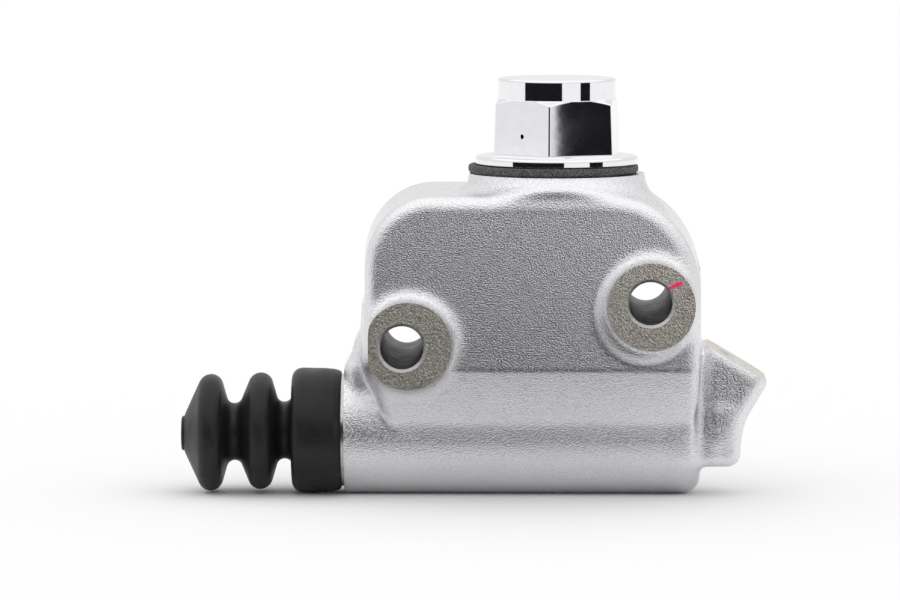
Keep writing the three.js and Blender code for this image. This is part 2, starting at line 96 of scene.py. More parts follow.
BARREL_R = 15.2
BARREL = {"left": -14.3, "right": 71.8, "round": 4.4}
HALF_DEPTH = 23.25
RESERVOIR = {"left": -9.4, "right": 71.9, "top": 36.2, "edge_round": 3.4, "draft": 0.02}
LEFT_SHOULDER = (16.5, 17.9)  # how wide and how high the reservoir's rounded corners are
RIGHT_SHOULDER = (21.3, 24.2)
FACE_FOOT = -5.3  # where the flat faces turn in towards the barrel
SKIRT_FOOT = (14.9, -20.2)  # how far out, and at what height, they run into the barrel
FOOT = {"left": -4.0, "top": -21, "low": -26}  # the reservoir's foot, inside the barrel
WALL = 4.5
WEB_HALF = 11.5
BOSS_R = 10.45
BOLT_R = 5.16
BOLT_EDGE = 0.7  # the chamfer at each end of a bolt hole
BOSSES = ((1.4, 0.35), (59.6, 9.8))
BOSS_LEFT = -8.1  # the lower boss is trimmed flush with the side of the reservoir
BOSS_FLARE = 0.03  # how much wider a boss grows for each millimetre away from its pad
SHOULDER = {"x": 57.9, "z": 7.6, "r": 10.8, "y": -69.8}  # the low step under the upper boss
# The outlet's slanted axis crosses the bore at axis_x, and its face is reach further along.
OUTLET = {"axis_x": 70.3, "tilt": 31, "reach": 19.95, "half": 8.7, "end": 81.6, "low": 8.3}
OUTLET_DEPTH = 13.4
PORT_BLOCK = {"back": 10, "half": 12.2, "low": -5}  # the slanted block, from the face's centre
STUB = {"left": 62, "narrowing": 0.06}  # the level block along the bore, narrower towards its foot
OUTLET_GROOVE = {"x": 72.4, "depth": 14.9, "r": 1.8, "foot": -31}  # where the outlet meets the barrel
PIPE_PORT = {"r": 4.25, "depth": 10.5, "drill_r": 1.6, "pitch": 1.058}
NECK_R = 20.9
NECK_BORE = {"r": 17.0, "floor": 30.5, "mouth_r": 18.2}
THREAD_PITCH = 1.5875
THREAD_DEPTH = 0.6
BORE_R = 9.525
BORE_END = 65.5
STOP_R = 10.3  # the wider mouth of the bore, for the stop plate
STOP_X = -20.3
LOCK_GROOVE = {"left": -23.4, "right": -21.8, "r": 10.9}
TUBE_HOLE = {"r": 2.5, "end": 72.3}
SPIGOT = {
    "left": CAST_LOW[0],
    "r": 12.6,
    "groove_r": 11.6,
    "groove": (-20.4, -16.4),
    "collar_r": 13.6,
    "collar": (-14.95, -14),
    "end": -10,
}
DRILLINGS = ((13, 0.9), (28.9, 0.35))  # place and radius of the intake and compensating holes
DRILLINGS_TOP = -3

# How wide the casting's fillets are where its shapes meet, and how round their own edges are.
FILLET = {
    "web": 3,
    "barrel": 1.6,
    "neck": 2.5,
    "boss": 4.2,
    "shoulder": 2.5,
    "stub": 2.2,
    "outlet": 2.6,
    "groove": 1.6,
    "bolt": 3,
    "inside": 0.6,
}
ROUNDING = {
    "web": 4,
    "neck": 1.2,
    "boss": 0.8,
    "shoulder": 1.6,
    "shoulder_side": 1.5,
    "right_side": 0.3,
    "port": 4.2,
    "stub": 3.6,
    "groove": 1.5,
    "hollow": 2.5,
}

# ---------------------------------------------------------------- distances, for shapes that flow together


def outline_distance(a, b, points):
    """How far (a, b) lies outside a closed outline, or less than nothing inside it."""
    inside = np.zeros(np.broadcast(a, b).shape, bool)
    nearest = np.full(inside.shape, np.inf)
    for (x0, y0), (x1, y1) in zip(points, points[1:] + points[:1]):
        ex, ey = x1 - x0, y1 - y0
        wx, wy = a - x0, b - y0
        t = np.clip((wx * ex + wy * ey) / (ex * ex + ey * ey), 0, 1)
        nearest = np.minimum(nearest, (wx - ex * t) ** 2 + (wy - ey * t) ** 2)
        if ey:
            inside ^= ((y0 > b) != (y1 > b)) & (a < ex * (b - y0) / ey + x0)
    distance = np.sqrt(nearest)
    return np.where(inside, -distance, distance)


def blend_in(a, b, reach):
    """Both shapes, with a fillet of about that reach between them."""
    h = np.maximum(reach - np.abs(a - b), 0) / reach
    return np.minimum(a, b) - h * h * reach / 4


def cut_away(a, b, reach):
    """The first shape without the second, with a fillet of about that reach on the edge."""
    return -blend_in(-a, b, reach)


def common(a, b, radius):
    """What both shapes share, with that radius on the edge between them."""
    u = np.maximum(a + radius, 0)
    v = np.maximum(b + radius, 0)
    return np.minimum(np.maximum(a, b), -radius) + np.sqrt(u * u + v * v)


def rod_distance(across_1, across_2, radius):
    """The distance to an endless rod, from the two distances across it."""
    return np.sqrt(across_1**2 + across_2**2) - radius


def rounded_box(offsets, halves, radius):
    """The distance to a box with rounded edges, from the three distances to its middle."""
    q = [np.abs(o) - (h - radius) for o, h in zip(offsets, halves)]
    outside = np.sqrt(sum(np.maximum(d, 0) ** 2 for d in q))
    return outside + np.minimum(np.maximum(np.maximum(q[0], q[1]), q[2]), 0) - radius


def arc(centre, radii, start, end, count=16):
    """Points on part of an ellipse, between two directions in degrees."""
    turns = [math.radians(start + (end - start) * i / count) for i in range(count + 1)]
    return [(centre[0] + radii[0] * math.cos(t), centre[1] + radii[1] * math.sin(t)) for t in turns]


def reservoir_outline(inset, foot):
    """The reservoir seen along Y, moved in by inset, and closed by the points of its foot."""
    left, right, top = RESERVOIR["left"] + inset, RESERVOIR["right"] - inset, RESERVOIR["top"] - inset
    left_r = [r - inset for r in LEFT_SHOULDER]
    right_r = [r - inset for r in RIGHT_SHOULDER]
    shoulders = arc((right - right_r[0], top - right_r[1]), right_r, 0, 90)
    shoulders += arc((left + left_r[0], top - left_r[1]), left_r, 90, 180)
    return foot + shoulders


# ---------------------------------------------------------------- the casting as one flowing shape

HOLLOW_FLOOR = -5
OUTER = reservoir_outline(
    0,
    [
        (RESERVOIR["left"], FACE_FOOT),
        (FOOT["left"], FOOT["top"]),
        (FOOT["left"], FOOT["low"]),
        (RESERVOIR["right"], FOOT["low"]),
    ],
)
INNER = reservoir_outline(
    WALL,
    [(RESERVOIR["left"] + WALL, HOLLOW_FLOOR), (RESERVOIR["right"] - WALL, HOLLOW_FLOOR)],
)
EDGE = 2.4  # the radius where the flat faces turn in
CLEAR_TOP = 60  # above the whole casting
# The reservoir's section across the bore, as (depth from the middle, z), before EDGE is added round it.
SECTION = [
    (-SKIRT_FOOT[0] + EDGE, SKIRT_FOOT[1]),
    (-HALF_DEPTH + EDGE, FACE_FOOT),
    (-HALF_DEPTH + EDGE, CLEAR_TOP),
    (HALF_DEPTH - EDGE, CLEAR_TOP),
    (HALF_DEPTH - EDGE, FACE_FOOT),
    (SKIRT_FOOT[0] - EDGE, SKIRT_FOOT[1]),
]
# The web between the reservoir's left side and the spigot, as (x, z).
WEB = (
    [(-2, 8), (-9.3, 8)]
    + arc((-16.5, 5.5), (7.1, 7.6), 5, -48, 6)
    + arc((-10.6, -8.2), (3.7, 5.0), 128, 180, 5)
    + [(-14.3, -17), (-2, -17)]
)
# The filler neck, as (radius, z).
NECK = [
    (0, 29),
    (28.4, 29),
    (28.4, 32.3),
    (24.9, 36.0),
    (22.5, 38.1),
    (NECK_R + 0.5, 39.4),
    (NECK_R, 40.6),
    (0, 41),
]


def outlet_axes(x, z):
    """How far along and across the outlet's slanted axis a point lies, from the centre of its face."""
    tilt = math.radians(OUTLET["tilt"])
    face_x = OUTLET["axis_x"] + OUTLET["reach"] * math.sin(tilt)
    face_z = BORE_Z + OUTLET["reach"] * math.cos(tilt)
    dx, dz = x - face_x, z - face_z
    return dx * math.sin(tilt) + dz * math.cos(tilt), dx * math.cos(tilt) - dz * math.sin(tilt)


def casting(x, y, z):
    """The distance to the casting's rough skin, before machining. x, y and z are arrays that broadcast."""
    depth = y - MID_Y
    section = outline_distance(depth, z, SECTION) - EDGE
    draft = -RESERVOIR["draft"] * depth
    outline = outline_distance(x, z, OUTER) + draft
    block = common(outline, section, RESERVOIR["edge_round"])

    web = common(outline_distance(x, z, WEB), np.abs(depth) - WEB_HALF, ROUNDING["web"])
    whole = blend_in(block, web, FILLET["web"])

    barrel = rod_distance(depth, z - BORE_Z, BARREL_R)
    ends = np.maximum(BARREL["left"] - x, x - BARREL["right"])
    barrel = common(barrel, ends, np.where(x > 20, BARREL["round"], 0.05))
    whole = blend_in(whole, barrel, FILLET["barrel"])

    squeeze = np.interp(z, [36, 39.5], [1.11, 1.0])  # the neck's foot is narrower along the bore
    neck = outline_distance(np.sqrt((squeeze * (x - CAP_X)) ** 2 + depth**2), z, NECK)
    set_in = np.interp(z, [31, 37], [2.6, 0])
    neck = common(neck, np.abs(depth) - HALF_DEPTH + set_in, ROUNDING["neck"])
    whole = blend_in(whole, neck, FILLET["neck"])

    for bx, bz in BOSSES:
        flare = BOSS_FLARE * np.maximum(PAD_Y - y, 0) * (depth > 0)
        boss = rod_distance(x - bx, z - bz, BOSS_R) - flare
        boss = np.maximum(boss, np.maximum(SEAT_Y - 2 - y, y - PAD_Y - 2))
        boss = common(boss, BOSS_LEFT - x, ROUNDING["boss"])
        whole = blend_in(whole, boss, FILLET["boss"])
    shoulder = rod_distance(x - SHOULDER["x"], z - SHOULDER["z"], SHOULDER["r"])
    shoulder = common(shoulder, np.maximum(SHOULDER["y"] - y, y - MID_Y), ROUNDING["shoulder"])
    shoulder = common(shoulder, outline, ROUNDING["shoulder_side"])
    whole = blend_in(whole, shoulder, FILLET["shoulder"])
    whole = common(whole, x - RESERVOIR["right"] + draft, ROUNDING["right_side"])

    along, across = outlet_axes(x, z)
    port_halves = (PORT_BLOCK["half"], OUTLET["half"], OUTLET_DEPTH)
    port = rounded_box((along + PORT_BLOCK["back"], across, depth), port_halves, ROUNDING["port"])
    port = np.maximum(port, BORE_Z + PORT_BLOCK["low"] - z)
    narrowing = STUB["narrowing"] * np.maximum(BORE_Z - z, 0)
    stub_x = (OUTLET["end"] + STUB["left"]) / 2
    stub_halves = (OUTLET["end"] - stub_x, OUTLET_DEPTH, OUTLET["low"])
    stub = rounded_box((x - stub_x, depth, z - BORE_Z), stub_halves, ROUNDING["stub"])
    outlet = blend_in(port, stub + narrowing, FILLET["stub"])
    whole = blend_in(whole, outlet, FILLET["outlet"])
    beside = np.abs(depth) - OUTLET_GROOVE["depth"]
    groove = rod_distance(x - OUTLET_GROOVE["x"], beside, OUTLET_GROOVE["r"])
    groove = common(groove, np.maximum(OUTLET_GROOVE["foot"] - z, z - 2), ROUNDING["groove"])
    whole = cut_away(whole, groove, FILLET["groove"])

    inner_half = HALF_DEPTH - WALL
    hollow = common(outline_distance(x, z, INNER), np.abs(depth) - inner_half, ROUNDING["hollow"])
    for bx, bz in (LOWER_BOLT, UPPER_BOLT):
        hollow = cut_away(hollow, rod_distance(x - bx, z - bz, BOLT_R + 3.4), FILLET["bolt"])
    return cut_away(whole, hollow, FILLET["inside"])


# ---------------------------------------------------------------- meshes


def new_piece(name, points, faces, material, smooth_angle=35):
    """An object from points in millimetres."""
    mesh = bpy.data.meshes.new(name)
    mesh.from_pydata((np.asarray(points, float) * MM).tolist(), [], faces)
    mesh.validate()
    obj = bpy.data.objects.new(name, mesh)
    bpy.context.scene.collection.objects.link(obj)
    tidy(obj)
    if material:
        mesh.materials.append(material)
    shade(obj, smooth_angle)
    return obj


def tidy(obj):
    """Merges doubled points and turns every face outwards."""
    bm = bmesh.new()
    bm.from_mesh(obj.data)
    bmesh.ops.remove_doubles(bm, verts=bm.verts, dist=1e-7)
    bmesh.ops.recalc_face_normals(bm, faces=bm.faces)
    bm.to_mesh(obj.data)
    bm.free()


def shade(obj, smooth_angle):
    for polygon in obj.data.polygons:
        polygon.use_smooth = True
    obj.data.set_sharp_from_angle(angle=math.radians(smooth_angle))


def skin(distance, low, high, step):
    """Points and four-sided faces on the surface where the distance is nothing."""
    axes = [np.arange(l, h + step, step) for l, h in zip(low, high)]
    gx, gy, gz = np.meshgrid(*axes, indexing="ij", sparse=True)
    field = np.broadcast_to(distance(gx, gy, gz), [len(a) for a in axes])
    inside = field < 0
    corners = [(i, j, k) for i in (0, 1) for j in (0, 1) for k in (0, 1)]
    cells = [len(a) - 1 for a in axes]
    count = np.zeros(cells, dtype=np.int8)
    for i, j, k in corners:
        count += inside[i:i + cells[0], j:j + cells[1], k:k + cells[2]]
    # One point in each cell that the surface passes through, at the mean of its crossings of the edges.
    where = np.argwhere((count > 0) & (count < 8))
    number = np.full(cells, -1)
    number[tuple(where.T)] = np.arange(len(where))
    values = {c: field[tuple((where + c).T)] for c in corners}
    total = np.zeros((len(where), 3))
    hits = np.zeros(len(where))
    for c in corners:
        for axis in range(3):
            if c[axis]:
                continue
            d = tuple(v + (n == axis) for n, v in enumerate(c))
            f0, f1 = values[c], values[d]
            crosses = (f0 < 0) != (f1 < 0)
            point = np.tile(np.array(c, float), (len(where), 1))
            point[:, axis] += np.where(crosses, f0 / np.where(crosses, f0 - f1, 1), 0)
            total += np.where(crosses[:, None], point, 0)
            hits += crosses
    points = np.array(low) + (where + total / hits[:, None]) * step
    # One face round each grid edge that the surface crosses, joining the points of its four cells.
    quads = []
    for axis in range(3):
        u, v = (axis + 1) % 3, (axis + 2) % 3
        shift = np.eye(3, dtype=int)
        first = inside[tuple(slice(0, n - (a == axis)) for a, n in enumerate(inside.shape))]
        second = inside[tuple(slice(a == axis, n) for a, n in enumerate(inside.shape))]
        edge = np.argwhere(first != second)
        within = (edge[:, u] > 0) & (edge[:, v] > 0) & (edge[:, u] < cells[u]) & (edge[:, v] < cells[v])
        edge = edge[within]
        ring = [edge - shift[u] - shift[v], edge - shift[v], edge, edge - shift[u]]
        quad = np.stack([number[tuple(r.T)] for r in ring], axis=1)
        outward = first[tuple(edge.T)]
        quads.append(np.where(outward[:, None], quad, quad[:, ::-1]))
    points = settle(distance, points, step)
    return points, np.concatenate(quads).tolist()


def settle(distance, points, step):
    """Moves points onto the surface, along the way that the distance grows."""
    small = step * 0.05
    for _ in range(3):
        x, y, z = points.T
        here = distance(x, y, z)
        slope = np.stack(
            [
                distance(x + small, y, z) - distance(x - small, y, z),
                distance(x, y + small, z) - distance(x, y - small, z),
                distance(x, y, z + small) - distance(x, y, z - small),
            ],
            axis=1,
        ) / (2 * small)
        length = np.maximum((slope**2).sum(axis=1), 0.2)
        move = np.clip(here / length, -step * 0.5, step * 0.5)
        points = points - slope * move[:, None]
    return points


def supported(profile, margin=0.12):
    """The profile with a point near each end of every long straight run, so that it is shaded flat."""
    out = []
    for (r0, a0), (r1, a1) in zip(profile, profile[1:] + profile[:1]):
        out.append((r0, a0))
        length = math.hypot(r1 - r0, a1 - a0)
        if length > 8 * margin:
            for share in (margin / length, 1 - margin / length):
                out.append((r0 + (r1 - r0) * share, a0 + (a1 - a0) * share))
    return out


def turned(profile, material, name, axis="x", centre=(0, 0, 0), segments=ROUND, smooth_angle=35):
    """A solid or ring turned about an axis. The profile is a list of (radius, place along the axis)."""
    profile = supported(profile)
    points, faces = [], []
    turns = np.arange(segments) * 2 * math.pi / segments
    for r, along in profile:
        for t in turns:
            a, b = r * math.cos(t), r * math.sin(t)
            points.append({"x": (along, a, b), "y": (b, along, a), "z": (a, b, along)}[axis])
    rings = len(profile)
    for i in range(rings):
        j = (i + 1) % rings
        for k in range(segments):
            m = (k + 1) % segments
            faces.append((i * segments + k, i * segments + m, j * segments + m, j * segments + k))
    points = np.array(points) + np.array(centre, float)
    return new_piece(name, points, faces, material, smooth_angle)


def closed(profile):
    """A profile that starts and ends on the axis, with its two ends kept apart there."""
    return [(max(r, TINY), along) for r, along in profile]


def upright_tool(profile, x=CAP_X, segments=ROUND):
    """A cutting or joining tool turned about an upright axis over the bore, as (radius, z)."""
    return turned(closed(profile), None, "tool", "z", (x, MID_Y, 0), segments)


def bore_axis_tool(profile):
    """The same about the bore's axis, as (radius, x)."""
    return turned(closed(profile), None, "tool", "x", (0, MID_Y, BORE_Z))


def boolean(obj, tool, operation="DIFFERENCE"):
    """Cuts a tool out of a piece, or joins it on, and removes the tool."""
    modifier = obj.modifiers.new(operation, "BOOLEAN")
    modifier.object = tool
    modifier.operation = operation
    modifier.solver = "MANIFOLD"
    bpy.context.view_layer.update()
    graph = bpy.context.evaluated_depsgraph_get()
    result = bpy.data.meshes.new_from_object(obj.evaluated_get(graph))
    obj.modifiers.clear()
    obj.data = result
    bpy.data.objects.remove(tool)


def block(low, high, matrix=None):
    """A plain box, as a cutting tool."""
    corners = [(x, y, z) for x in (low[0], high[0]) for y in (low[1], high[1]) for z in (low[2], high[2])]
    faces = [(0, 1, 3, 2), (4, 6, 7, 5), (0, 4, 5, 1), (2, 3, 7, 6), (0, 2, 6, 4), (1, 5, 7, 3)]
    obj = new_piece("tool", corners, faces, None)
    if matrix is not None:
        obj.data.transform(matrix)
    return obj


def threaded(name, radius, depth, low, high, centre, material=None, matrix=None, pitch=THREAD_PITCH):
    """A solid with a screw thread on its outside, whose crests stand out by depth, from low to high."""
    rows = int(round((high - low) / pitch * 12))
    segments = 120
    points, faces = [], []
    for i in range(rows + 1):
        z = low + (high - low) * i / rows
        for k in range(segments):
            turn = k / segments
            phase = ((z / pitch - turn) % 1.0) * 2 - 1
            crest = min(max(1.25 - 1.9 * abs(phase), 0), 1)
            r = radius + depth * crest
            points.append((r * math.cos(2 * math.pi * turn), r * math.sin(2 * math.pi * turn), z))
    for i in range(rows):
        for k in range(segments):
            m = (k + 1) % segments
            a, b = i * segments, (i + 1) * segments
            faces.append((a + k, a + m, b + m, b + k))
    faces.append(tuple(reversed(range(segments))))
    faces.append(tuple(rows * segments + k for k in range(segments)))
    obj = new_piece(name, np.array(points), faces, material)
    if matrix is not None:
        obj.data.transform(matrix)
    obj.data.transform(Matrix.Translation(Vector(centre) * MM))
    return obj


# ---------------------------------------------------------------- finishes


def principled(material):
    return next(n for n in material.node_tree.nodes if n.type == "BSDF_PRINCIPLED")


def noise_node(tree, place, size):
    """Cloudy noise whose lumps are about that size."""
    node = tree.nodes.new("ShaderNodeTexNoise")
    node.inputs["Scale"].default_value = 1 / (size * MM)
    node.inputs["Detail"].default_value = 3.0
    tree.links.new(place.outputs["Object"], node.inputs["Vector"])
    return node


def ramp_node(tree, source, stops):
    """Colours along a noise, as (place, colour) pairs."""
    node = tree.nodes.new("ShaderNodeValToRGB")
    while len(node.color_ramp.elements) < len(stops):
        node.color_ramp.elements.new(0.5)
    for element, (at, colour) in zip(node.color_ramp.elements, stops):
        element.position = at
        element.color = (*colour, 1)
    tree.links.new(source.outputs["Fac"], node.inputs["Fac"])
    return node


def surface(name, colour, metallic, rough, grain, depth, dark=0.7, lump=12.0, lump_depth=0.0):
    """A grained finish. Fine noise darkens its colour and stands it up by depth, and broad noise spreads
    its roughness, and may wave it by lump_depth."""
    material = bpy.data.materials.new(name)
    material.use_nodes = True
    tree = material.node_tree
    shader = principled(material)
    shader.inputs["Metallic"].default_value = metallic
    place = tree.nodes.new("ShaderNodeTexCoord")
    fine = noise_node(tree, place, grain)
    broad = noise_node(tree, place, lump)
    low = [c * dark for c in colour]
    colours = ramp_node(tree, fine, [(0.35, low), (0.62, colour)])
    tree.links.new(colours.outputs["Color"], shader.inputs["Base Color"])
    spread = tree.nodes.new("ShaderNodeMapRange")
    spread.inputs["From Min"].default_value = 0.3
    spread.inputs["From Max"].default_value = 0.7
    spread.inputs["To Min"].default_value = rough[0]
    spread.inputs["To Max"].default_value = rough[1]
    tree.links.new(broad.outputs["Fac"], spread.inputs["Value"])
    tree.links.new(spread.outputs["Result"], shader.inputs["Roughness"])
    bump = tree.nodes.new("ShaderNodeBump")
    bump.inputs["Distance"].default_value = depth * MM
    tree.links.new(fine.outputs["Fac"], bump.inputs["Height"])
    if lump_depth:
        wave = tree.nodes.new("ShaderNodeBump")
        wave.inputs["Distance"].default_value = lump_depth * MM
        tree.links.new(broad.outputs["Fac"], wave.inputs["Height"])
        tree.links.new(wave.outputs["Normal"], bump.inputs["Normal"])
    tree.links.new(bump.outputs["Normal"], shader.inputs["Normal"])
    return material


def add_paint_dab(material, centre, radius, colour):
    """A slanted dab of paint on the finish, longer than it is wide, with a ragged edge."""
    slant, stretch = math.radians(-24), (1.5, 1, 0.5)
    tree = material.node_tree
    shader = principled(material)
    under = shader.inputs["Base Color"].links[0].from_socket
    place = next(n for n in tree.nodes if n.type == "TEX_COORD")
    streak = tree.nodes.new("ShaderNodeMapping")
    streak.vector_type = "TEXTURE"
    streak.inputs["Location"].default_value = [c * MM for c in centre]
    streak.inputs["Rotation"].default_value = (0, slant, 0)
    streak.inputs["Scale"].default_value = stretch
    tree.links.new(place.outputs["Object"], streak.inputs["Vector"])
    far = tree.nodes.new("ShaderNodeVectorMath")
    far.operation = "LENGTH"
    tree.links.new(streak.outputs["Vector"], far.inputs[0])
    ragged = noise_node(tree, place, radius * 0.8)
    edge = tree.nodes.new("ShaderNodeMath")
    edge.operation = "MULTIPLY_ADD"
    edge.inputs[1].default_value = radius * MM
    tree.links.new(ragged.outputs["Fac"], edge.inputs[0])
    tree.links.new(far.outputs["Value"], edge.inputs[2])
    mask = tree.nodes.new("ShaderNodeMapRange")
    mask.inputs["From Min"].default_value = radius * 1.55 * MM
    mask.inputs["From Max"].default_value = radius * 1.35 * MM
    tree.links.new(edge.outputs["Value"], mask.inputs["Value"])
    paint = tree.nodes.new("ShaderNodeMix")
    paint.data_type = "RGBA"
    colour_under = next(s for s in paint.inputs if s.name == "A" and s.type == "RGBA")
    colour_over = next(s for s in paint.inputs if s.name == "B" and s.type == "RGBA")
    colour_out = next(s for s in paint.outputs if s.type == "RGBA")
    colour_over.default_value = (*colour, 1)
    tree.links.new(mask.outputs["Result"], paint.inputs["Factor"])
    tree.links.new(under, colour_under)
    tree.links.new(colour_out, shader.inputs["Base Color"])
    bare = tree.nodes.new("ShaderNodeMapRange")
    bare.inputs["To Min"].default_value = 1
    bare.inputs["To Max"].default_value = 0
    tree.links.new(mask.outputs["Result"], bare.inputs["Value"])
    tree.links.new(bare.outputs["Result"], shader.inputs["Metallic"])


# After the name: colour, metallic, roughness from and to, grain size and depth, how much of the colour is
# left in the darkest grains, lump size and lump depth. Sizes are in millimetres.
CAST = surface("cast_aluminium", (0.87, 0.87, 0.89), 1.0, (0.15, 0.21), 0.36, 0.2, 0.84, 9.0)
MACHINED = surface("machined_aluminium", (0.84, 0.79, 0.70), 1.0, (0.28, 0.38), 0.35, 0.2, 0.5, 5.0)
BORED = surface("bored_aluminium", (0.62, 0.62, 0.64), 1.0, (0.2, 0.32), 0.4, 0.01, 0.8, 6.0)
DRILLED = surface("drilled_hole", (0.13, 0.12, 0.11), 1.0, (0.4, 0.55), 0.6, 0.08, 0.5, 4.0)
CHROME = surface("chrome", (0.87, 0.87, 0.89), 1.0, (0.025, 0.05), 2.5, 0.001, 0.97, 9.0, 0.004)
RUBBER = surface("black_rubber", (0.013, 0.013, 0.014), 0.0, (0.36, 0.5), 0.3, 0.02, 0.6, 6.0, 0.08)
FIBRE = surface("gasket_fibre", (0.13, 0.12, 0.12), 0.0, (0.6, 0.85), 0.35, 0.1, 0.08, 3.0)
STEEL = surface("steel", (0.56, 0.56, 0.57), 1.0, (0.22, 0.36), 0.5, 0.01, 0.8, 4.0)
ALUMINIUM = surface("turned_aluminium", (0.78, 0.78, 0.79), 1.0, (0.2, 0.3), 0.4, 0.008, 0.85, 4.0)
BRASS = surface("brass", (0.78, 0.56, 0.25), 1.0, (0.22, 0.34), 0.4, 0.01, 0.85, 4.0)
principled(RUBBER).inputs["Specular IOR Level"].default_value = 0.32
add_paint_dab(MACHINED, (65.2, SEAT_Y, 15.0), 1.3, (0.75, 0.02, 0.12))

# ---------------------------------------------------------------- the casting, machined


def outlet_matrix():
    """Turns +Z at the origin into the outlet's slanted axis, at the centre of its face."""
    tilt = math.radians(OUTLET["tilt"])
    face = (
        OUTLET["axis_x"] + OUTLET["reach"] * math.sin(tilt),
        MID_Y,
        BORE_Z + OUTLET["reach"] * math.cos(tilt),
    )
    return Matrix.Translation(Vector(face) * MM) @ Matrix.Rotation(tilt, 4, "Y")


def bolt_hole_tool(x, z):
    profile = [
        (0, SEAT_Y - 1),
        (BOLT_R + BOLT_EDGE + 1, SEAT_Y - 1),
        (BOLT_R, SEAT_Y + BOLT_EDGE),
        (BOLT_R, PAD_Y - BOLT_EDGE),
        (BOLT_R + BOLT_EDGE + 1, PAD_Y + 1),
        (0, PAD_Y + 1),
    ]
    return turned(closed(profile), None, "tool", "y", (x, 0, z))


def bore_tool():
    profile = [
        (0, SPIGOT["left"] - 1),
        (STOP_R + 1.5, SPIGOT["left"] - 1),
        (STOP_R, SPIGOT["left"] + 0.5),
        (STOP_R, LOCK_GROOVE["left"]),
        (LOCK_GROOVE["r"], LOCK_GROOVE["left"]),
        (LOCK_GROOVE["r"], LOCK_GROOVE["right"]),
        (STOP_R, LOCK_GROOVE["right"]),
        (STOP_R, STOP_X),
        (BORE_R, STOP_X),
        (BORE_R, BORE_END),
        (TUBE_HOLE["r"], BORE_END),
        (TUBE_HOLE["r"], TUBE_HOLE["end"]),
        (0, TUBE_HOLE["end"]),
    ]
    return bore_axis_tool(profile)


def spigot_solid():
    r, groove_r = SPIGOT["r"], SPIGOT["groove_r"]
    g0, g1 = SPIGOT["groove"]
    profile = [
        (0, SPIGOT["left"]),
        (r - 0.8, SPIGOT["left"]),
        (r, SPIGOT["left"] + 0.8),
        (r, g0),
        (groove_r, g0),
        (groove_r, g1),
        (r, g1),
        (r, SPIGOT["collar"][0]),
        (SPIGOT["collar_r"], SPIGOT["collar"][0]),
        (SPIGOT["collar_r"], SPIGOT["collar"][1]),
        (r, SPIGOT["collar"][1]),
        (r, SPIGOT["end"]),
        (0, SPIGOT["end"]),
    ]
    return bore_axis_tool(profile)


def port_tools():
    """The chamfered, threaded hole for the pipe's fitting, and the drilling on to the bore."""
    r, depth, drill_r = PIPE_PORT["r"], PIPE_PORT["depth"], PIPE_PORT["drill_r"]
    profile = [
        (0, 1),
        (r + 1.9, 1),
        (r, -0.9),
        (r, -1.4),
        (r - 0.4, -1.6),
        (r - 0.4, -depth),
        (drill_r, -depth - 1.2),
        (drill_r, -OUTLET["reach"]),
        (0, -OUTLET["reach"]),
    ]
    hole = turned(closed(profile), None, "tool", "z")
    hole.data.transform(outlet_matrix())
    pitch = PIPE_PORT["pitch"]
    thread = threaded("tool", r - 0.5, 0.5, -depth, -1.2, (0, 0, 0), None, outlet_matrix(), pitch)
    return hole, thread


def classify(mesh):
    """The finish of each face of the casting: 0 as cast, 1 machined flat, 2 turned or bored, 3 drilled."""
    count = len(mesh.polygons)
    centre = np.empty(count * 3)
    normal = np.empty(count * 3)
    mesh.polygons.foreach_get("center", centre)
    mesh.polygons.foreach_get("normal", normal)
    x, y, z = (centre.reshape(-1, 3) / MM).T
    nx, ny, nz = normal.reshape(-1, 3).T
    finish = np.zeros(count, dtype=np.int32)
    near = 0.02
    along, across = outlet_axes(x, z)
    flat = (np.abs(y - SEAT_Y) < near) | (np.abs(y - PAD_Y) < near)
    flat |= (np.abs(along) < near) & (np.abs(across) < OUTLET["half"] + 0.1)
    flat |= (np.abs(x - BARREL["left"]) < near) & (nx < -0.9)
    finish[flat] = 1
    from_bore = np.hypot(y - MID_Y, z - BORE_Z)
    inward = (ny * (y - MID_Y) + nz * (z - BORE_Z)) < 0
    in_bore = (from_bore < LOCK_GROOVE["r"] + 0.1) & inward & (x < TUBE_HOLE["end"] + 0.2)
    bored = (x < BARREL["left"] - 0.03) | in_bore
    drilled = np.zeros(count, dtype=bool)
    for bx, bz in (LOWER_BOLT, UPPER_BOLT):
        from_bolt = np.hypot(x - bx, z - bz)
        bored |= (from_bolt < BOLT_R + BOLT_EDGE + near) & (np.abs(ny) < 0.9)
        drilled |= (from_bolt < BOLT_R + near) & (np.abs(ny) < 0.5)
    in_neck_r = NECK_BORE["r"] + THREAD_DEPTH + 0.3
    bored |= (np.hypot(x - CAP_X, y - MID_Y) < in_neck_r) & (z > NECK_BORE["floor"] + 1.2)
    bored |= z > NECK_TOP - near
    in_port = (np.hypot(across, y - MID_Y) < PIPE_PORT["r"] + 1.05) & (along < -0.03)
    bored |= in_port & (along > -PIPE_PORT["depth"] - 2.5)
    finish[bored] = 2
    finish[drilled] = 3
    mesh.polygons.foreach_set("material_index", finish)


